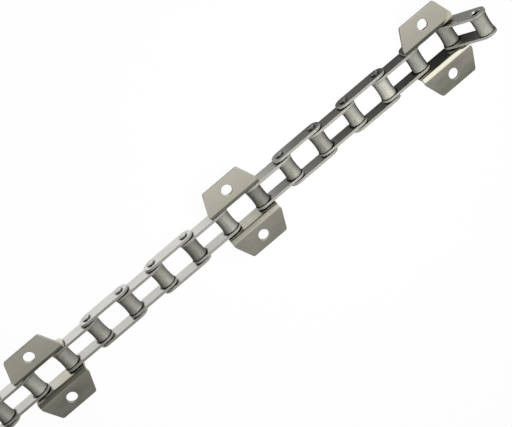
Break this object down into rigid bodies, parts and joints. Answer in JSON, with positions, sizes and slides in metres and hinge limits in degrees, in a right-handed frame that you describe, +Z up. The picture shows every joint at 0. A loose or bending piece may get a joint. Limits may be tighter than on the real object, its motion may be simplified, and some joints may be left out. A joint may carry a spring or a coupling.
{
  "type": "conveyor chain",
  "caption": "Straight steel roller chain for a conveyor, with bent-out flanges on both sides at regular steps and its end link folded up.",
  "frame": {"origin": "on the floor under the chain, midway along its length and midway between its sides", "axes": "+X along the chain towards the end with the folded link, +Y towards the chain's left side along its pins, +Z up, out of the flanges' upper faces"},
  "size_m": [0.6526, 0.0804, 0.0495],
  "materials": {
    "roller_link_plate": "satin",
    "pin_link_plate": "satin",
    "attachment_plate": "satin",
    "bush": "satin",
    "pin": "satin",
    "roller": "satin"
  },
  "bodies": {
    "roller_link_1": {"roller_link_1_plates": "roller_link_plate", "roller_link_1_bushes": "bush"},
    "attachment_link_1": {"attachment_link_1_left_plate": "attachment_plate", "attachment_link_1_right_plate": "attachment_plate", "attachment_link_1_pins": "pin"},
    "roller_link_2": {"roller_link_2_plates": "roller_link_plate", "roller_link_2_bushes": "bush"},
    "pin_link_2": {"pin_link_2_plates": "pin_link_plate", "pin_link_2_pins": "pin"},
    "roller_link_3": {"roller_link_3_plates": "roller_link_plate", "roller_link_3_bushes": "bush"},
    "pin_link_3": {"pin_link_3_plates": "pin_link_plate", "pin_link_3_pins": "pin"},
    "roller_link_4": {"roller_link_4_plates": "roller_link_plate", "roller_link_4_bushes": "bush"},
    "attachment_link_4": {"attachment_link_4_left_plate": "attachment_plate", "attachment_link_4_right_plate": "attachment_plate", "attachment_link_4_pins": "pin"},
    "roller_link_5": {"roller_link_5_plates": "roller_link_plate", "roller_link_5_bushes": "bush"},
    "pin_link_5": {"pin_link_5_plates": "pin_link_plate", "pin_link_5_pins": "pin"},
    "roller_link_6": {"roller_link_6_plates": "roller_link_plate", "roller_link_6_bushes": "bush"},
    "pin_link_6": {"pin_link_6_plates": "pin_link_plate", "pin_link_6_pins": "pin"},
    "roller_link_7": {"roller_link_7_plates": "roller_link_plate", "roller_link_7_bushes": "bush"},
    "attachment_link_7": {"attachment_link_7_left_plate": "attachment_plate", "attachment_link_7_right_plate": "attachment_plate", "attachment_link_7_pins": "pin"},
    "roller_link_8": {"roller_link_8_plates": "roller_link_plate", "roller_link_8_bushes": "bush"},
    "pin_link_8": {"pin_link_8_plates": "pin_link_plate", "pin_link_8_pins": "pin"},
    "roller_link_9": {"roller_link_9_plates": "roller_link_plate", "roller_link_9_bushes": "bush"},
    "roller_01": {"roller_01": "roller"},
    "roller_02": {"roller_02": "roller"},
    "roller_03": {"roller_03": "roller"},
    "roller_04": {"roller_04": "roller"},
    "roller_05": {"roller_05": "roller"},
    "roller_06": {"roller_06": "roller"},
    "roller_07": {"roller_07": "roller"},
    "roller_08": {"roller_08": "roller"},
    "roller_09": {"roller_09": "roller"},
    "roller_10": {"roller_10": "roller"},
    "roller_11": {"roller_11": "roller"},
    "roller_12": {"roller_12": "roller"},
    "roller_13": {"roller_13": "roller"},
    "roller_14": {"roller_14": "roller"},
    "roller_15": {"roller_15": "roller"},
    "roller_16": {"roller_16": "roller"},
    "roller_17": {"roller_17": "roller"},
    "roller_18": {"roller_18": "roller"}
  },
  "joints": [
    {"name": "link_hinge_08", "type": "hinge", "parent": "attachment_link_4", "child": "roller_link_4", "pos_m": [0.06634, 0, 0.00865], "axis": [0, -1, 0], "range_deg": [-135, 135]},
    {"name": "link_hinge_07", "type": "hinge", "parent": "roller_link_4", "child": "pin_link_3", "pos_m": [0.10474, 0, 0.00865], "axis": [0, 1, 0], "range_deg": [-135, 135]},
    {"name": "link_hinge_06", "type": "hinge", "parent": "pin_link_3", "child": "roller_link_3", "pos_m": [0.14314, 0, 0.00865], "axis": [0, -1, 0], "range_deg": [-135, 135]},
    {"name": "link_hinge_05", "type": "hinge", "parent": "roller_link_3", "child": "pin_link_2", "pos_m": [0.18154, 0, 0.00865], "axis": [0, 1, 0], "range_deg": [-135, 135]},
    {"name": "link_hinge_04", "type": "hinge", "parent": "pin_link_2", "child": "roller_link_2", "pos_m": [0.21994, 0, 0.00865], "axis": [0, -1, 0], "range_deg": [-135, 135]},
    {"name": "link_hinge_03", "type": "hinge", "parent": "roller_link_2", "child": "attachment_link_1", "pos_m": [0.25834, 0, 0.00865], "axis": [0, 1, 0], "range_deg": [-135, 135]},
    {"name": "link_hinge_02", "type": "hinge", "parent": "attachment_link_1", "child": "roller_link_1", "pos_m": [0.29674, 0, 0.00865], "axis": [0, -1, 0], "range_deg": [-192, 78]},
    {"name": "link_hinge_09", "type": "hinge", "parent": "attachment_link_4", "child": "roller_link_5", "pos_m": [0.02794, 0, 0.00865], "axis": [0, -1, 0], "range_deg": [-135, 135]},
    {"name": "link_hinge_10", "type": "hinge", "parent": "roller_link_5", "child": "pin_link_5", "pos_m": [-0.01046, 0, 0.00865], "axis": [0, 1, 0], "range_deg": [-135, 135]},
    {"name": "link_hinge_11", "type": "hinge", "parent": "pin_link_5", "child": "roller_link_6", "pos_m": [-0.04886, 0, 0.00865], "axis": [0, -1, 0], "range_deg": [-135, 135]},
    {"name": "link_hinge_12", "type": "hinge", "parent": "roller_link_6", "child": "pin_link_6", "pos_m": [-0.08726, 0, 0.00865], "axis": [0, 1, 0], "range_deg": [-135, 135]},
    {"name": "link_hinge_13", "type": "hinge", "parent": "pin_link_6", "child": "roller_link_7", "pos_m": [-0.12566, 0, 0.00865], "axis": [0, -1, 0], "range_deg": [-135, 135]},
    {"name": "link_hinge_14", "type": "hinge", "parent": "roller_link_7", "child": "attachment_link_7", "pos_m": [-0.16406, 0, 0.00865], "axis": [0, 1, 0], "range_deg": [-135, 135]},
    {"name": "link_hinge_15", "type": "hinge", "parent": "attachment_link_7", "child": "roller_link_8", "pos_m": [-0.20246, 0, 0.00865], "axis": [0, -1, 0], "range_deg": [-135, 135]},
    {"name": "link_hinge_16", "type": "hinge", "parent": "roller_link_8", "child": "pin_link_8", "pos_m": [-0.24086, 0, 0.00865], "axis": [0, 1, 0], "range_deg": [-135, 135]},
    {"name": "link_hinge_17", "type": "hinge", "parent": "pin_link_8", "child": "roller_link_9", "pos_m": [-0.27926, 0, 0.00865], "axis": [0, -1, 0], "range_deg": [-135, 135]},
    {"name": "roller_spin_01", "type": "hinge", "parent": "roller_link_1", "child": "roller_01", "pos_m": [0.31766, 0, 0.04086], "axis": [0, 1, 0], "continuous": true},
    {"name": "roller_spin_02", "type": "hinge", "parent": "roller_link_1", "child": "roller_02", "pos_m": [0.29674, 0, 0.00865], "axis": [0, 1, 0], "continuous": true},
    {"name": "roller_spin_03", "type": "hinge", "parent": "roller_link_2", "child": "roller_03", "pos_m": [0.25834, 0, 0.00865], "axis": [0, 1, 0], "continuous": true},
    {"name": "roller_spin_04", "type": "hinge", "parent": "roller_link_2", "child": "roller_04", "pos_m": [0.21994, 0, 0.00865], "axis": [0, 1, 0], "continuous": true},
    {"name": "roller_spin_05", "type": "hinge", "parent": "roller_link_3", "child": "roller_05", "pos_m": [0.18154, 0, 0.00865], "axis": [0, 1, 0], "continuous": true},
    {"name": "roller_spin_06", "type": "hinge", "parent": "roller_link_3", "child": "roller_06", "pos_m": [0.14314, 0, 0.00865], "axis": [0, 1, 0], "continuous": true},
    {"name": "roller_spin_07", "type": "hinge", "parent": "roller_link_4", "child": "roller_07", "pos_m": [0.10474, 0, 0.00865], "axis": [0, 1, 0], "continuous": true},
    {"name": "roller_spin_08", "type": "hinge", "parent": "roller_link_4", "child": "roller_08", "pos_m": [0.06634, 0, 0.00865], "axis": [0, 1, 0], "continuous": true},
    {"name": "roller_spin_09", "type": "hinge", "parent": "roller_link_5", "child": "roller_09", "pos_m": [0.02794, 0, 0.00865], "axis": [0, 1, 0], "continuous": true},
    {"name": "roller_spin_10", "type": "hinge", "parent": "roller_link_5", "child": "roller_10", "pos_m": [-0.01046, 0, 0.00865], "axis": [0, 1, 0], "continuous": true},
    {"name": "roller_spin_11", "type": "hinge", "parent": "roller_link_6", "child": "roller_11", "pos_m": [-0.04886, 0, 0.00865], "axis": [0, 1, 0], "continuous": true},
    {"name": "roller_spin_12", "type": "hinge", "parent": "roller_link_6", "child": "roller_12", "pos_m": [-0.08726, 0, 0.00865], "axis": [0, 1, 0], "continuous": true},
    {"name": "roller_spin_13", "type": "hinge", "parent": "roller_link_7", "child": "roller_13", "pos_m": [-0.12566, 0, 0.00865], "axis": [0, 1, 0], "continuous": true},
    {"name": "roller_spin_14", "type": "hinge", "parent": "roller_link_7", "child": "roller_14", "pos_m": [-0.16406, 0, 0.00865], "axis": [0, 1, 0], "continuous": true},
    {"name": "roller_spin_15", "type": "hinge", "parent": "roller_link_8", "child": "roller_15", "pos_m": [-0.20246, 0, 0.00865], "axis": [0, 1, 0], "continuous": true},
    {"name": "roller_spin_16", "type": "hinge", "parent": "roller_link_8", "child": "roller_16", "pos_m": [-0.24086, 0, 0.00865], "axis": [0, 1, 0], "continuous": true},
    {"name": "roller_spin_17", "type": "hinge", "parent": "roller_link_9", "child": "roller_17", "pos_m": [-0.27926, 0, 0.00865], "axis": [0, 1, 0], "continuous": true},
    {"name": "roller_spin_18", "type": "hinge", "parent": "roller_link_9", "child": "roller_18", "pos_m": [-0.31766, 0, 0.00865], "axis": [0, 1, 0], "continuous": true}
  ]
}
